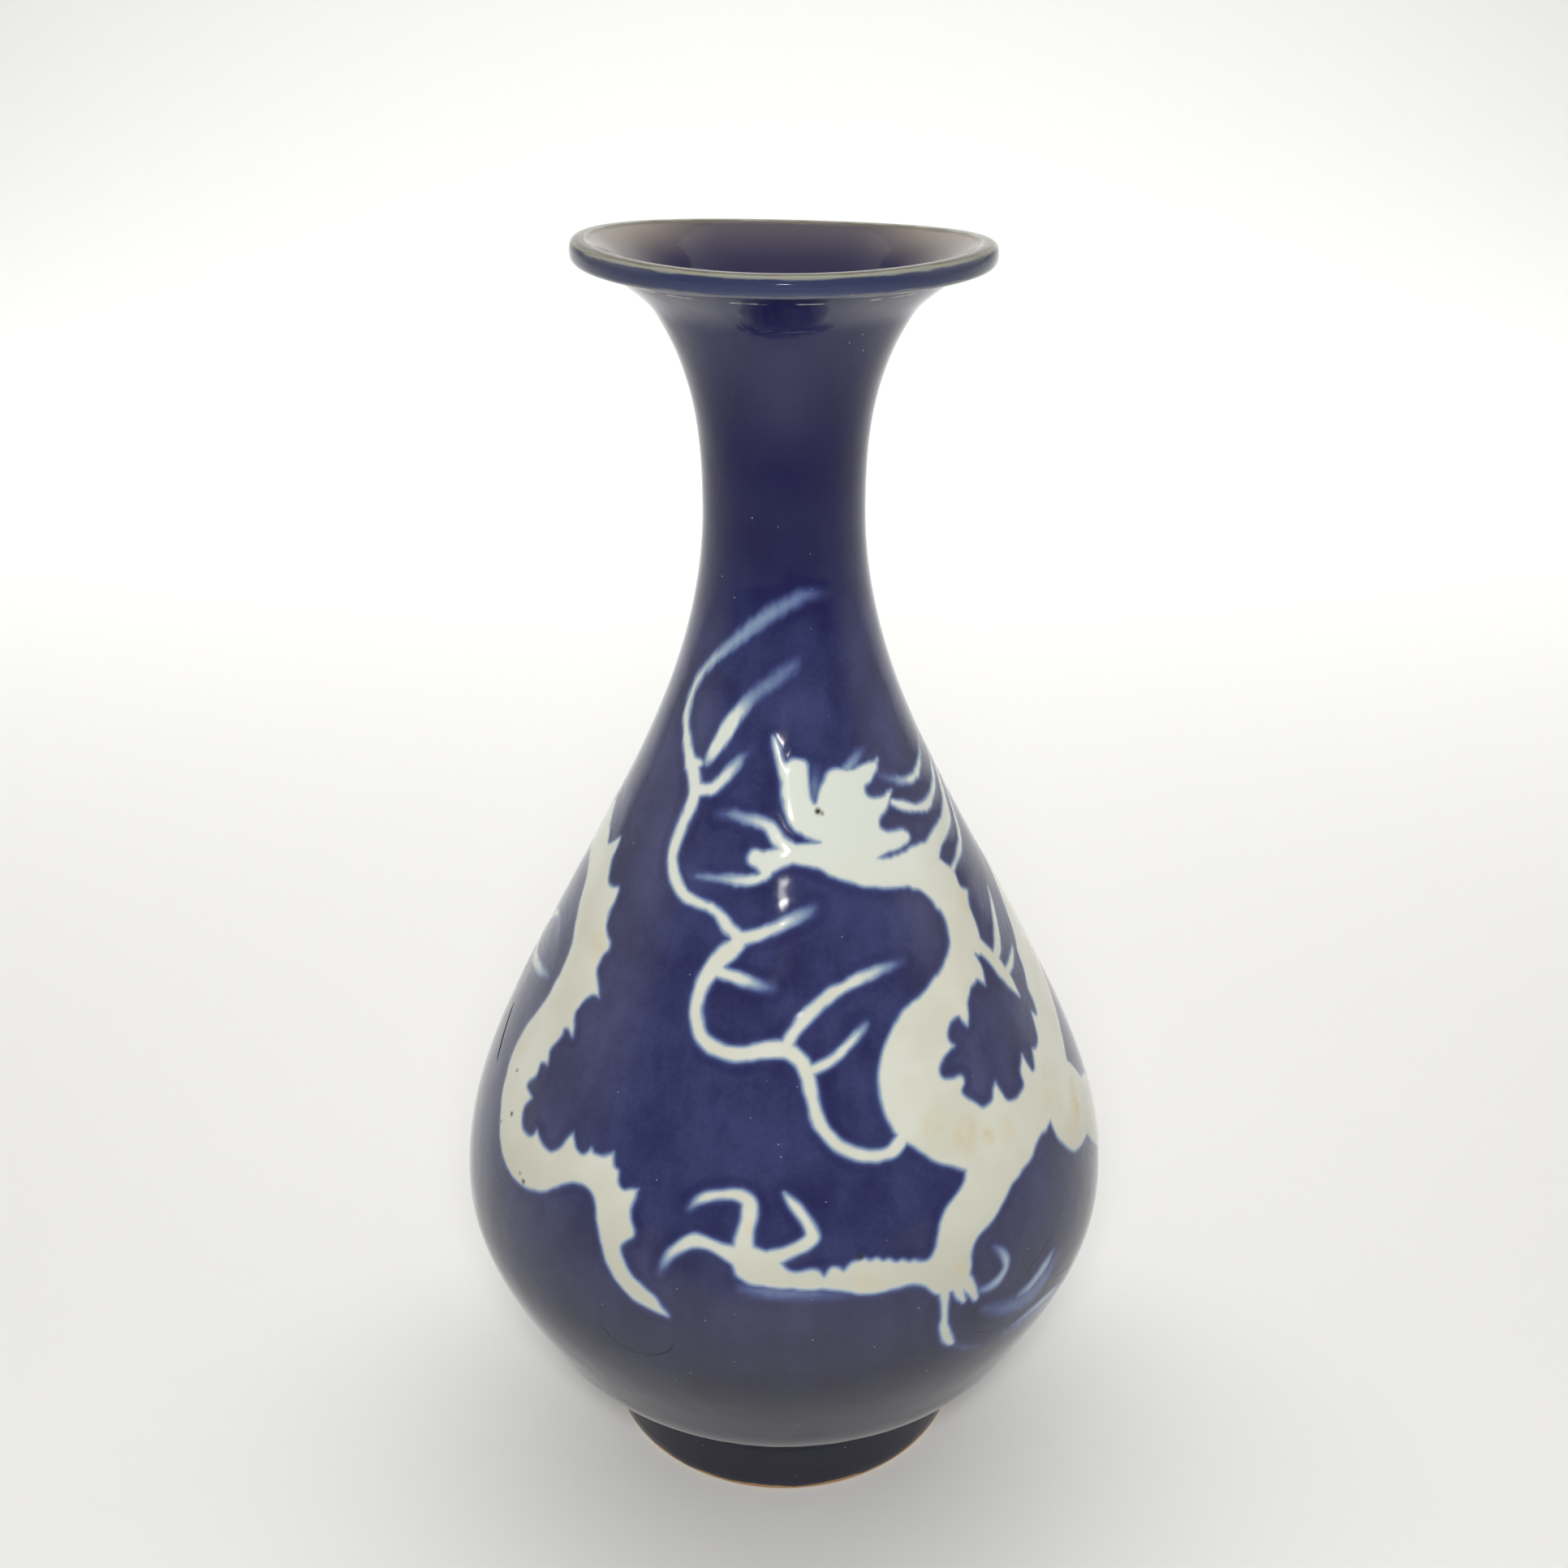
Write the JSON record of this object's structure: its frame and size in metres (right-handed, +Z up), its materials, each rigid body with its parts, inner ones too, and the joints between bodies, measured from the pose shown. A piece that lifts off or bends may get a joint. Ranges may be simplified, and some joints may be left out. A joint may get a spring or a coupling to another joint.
{
  "type": "pear-shaped vase",
  "caption": "Pear-shaped porcelain bottle vase with a slender neck and flared mouth, glazed cobalt blue, with a white slip dragon in low relief round the belly; holds a stem or stands for show.",
  "frame": {"origin": "middle of the foot ring's resting face", "axes": "+Z up along the vase's axis; -Y towards the viewer in front of the dragon's head and near foreleg"},
  "size_m": [0.1618, 0.1618, 0.3],
  "materials": {
    "cobalt_glaze": "glossy deep cobalt glaze over porcelain",
    "foot": "cobalt glaze, wiped bare to tan clay on the resting edge",
    "luting_slip": "fired porcelain slip",
    "white_slip": "white slip under a clear, faintly green glaze"
  },
  "bodies": {
    "root": {"foot_ring": "foot", "lower_body": "cobalt_glaze", "upper_body": "cobalt_glaze", "neck_and_mouth": "cobalt_glaze", "foot_luting_slip": "luting_slip", "belly_luting_slip": "luting_slip", "neck_luting_slip": "luting_slip", "dragon_head": "white_slip", "dragon_jaw": "white_slip", "dragon_brow_tufts": "white_slip", "dragon_whiskers": "white_slip", "dragon_mane": "white_slip", "dragon_neck": "white_slip", "dragon_chest": "white_slip", "dragon_trunk": "white_slip", "dragon_tail": "white_slip", "near_foreleg": "white_slip", "near_fore_claws": "white_slip", "far_foreleg": "white_slip", "far_fore_claws": "white_slip", "near_hind_leg": "white_slip", "near_hind_claws": "white_slip", "far_hind_leg": "white_slip", "far_hind_claws": "white_slip", "fire_ribbon": "white_slip", "fire_ribbon_sprays": "white_slip", "shoulder_flame": "white_slip", "knee_flames": "white_slip"}
  },
  "joints": []
}
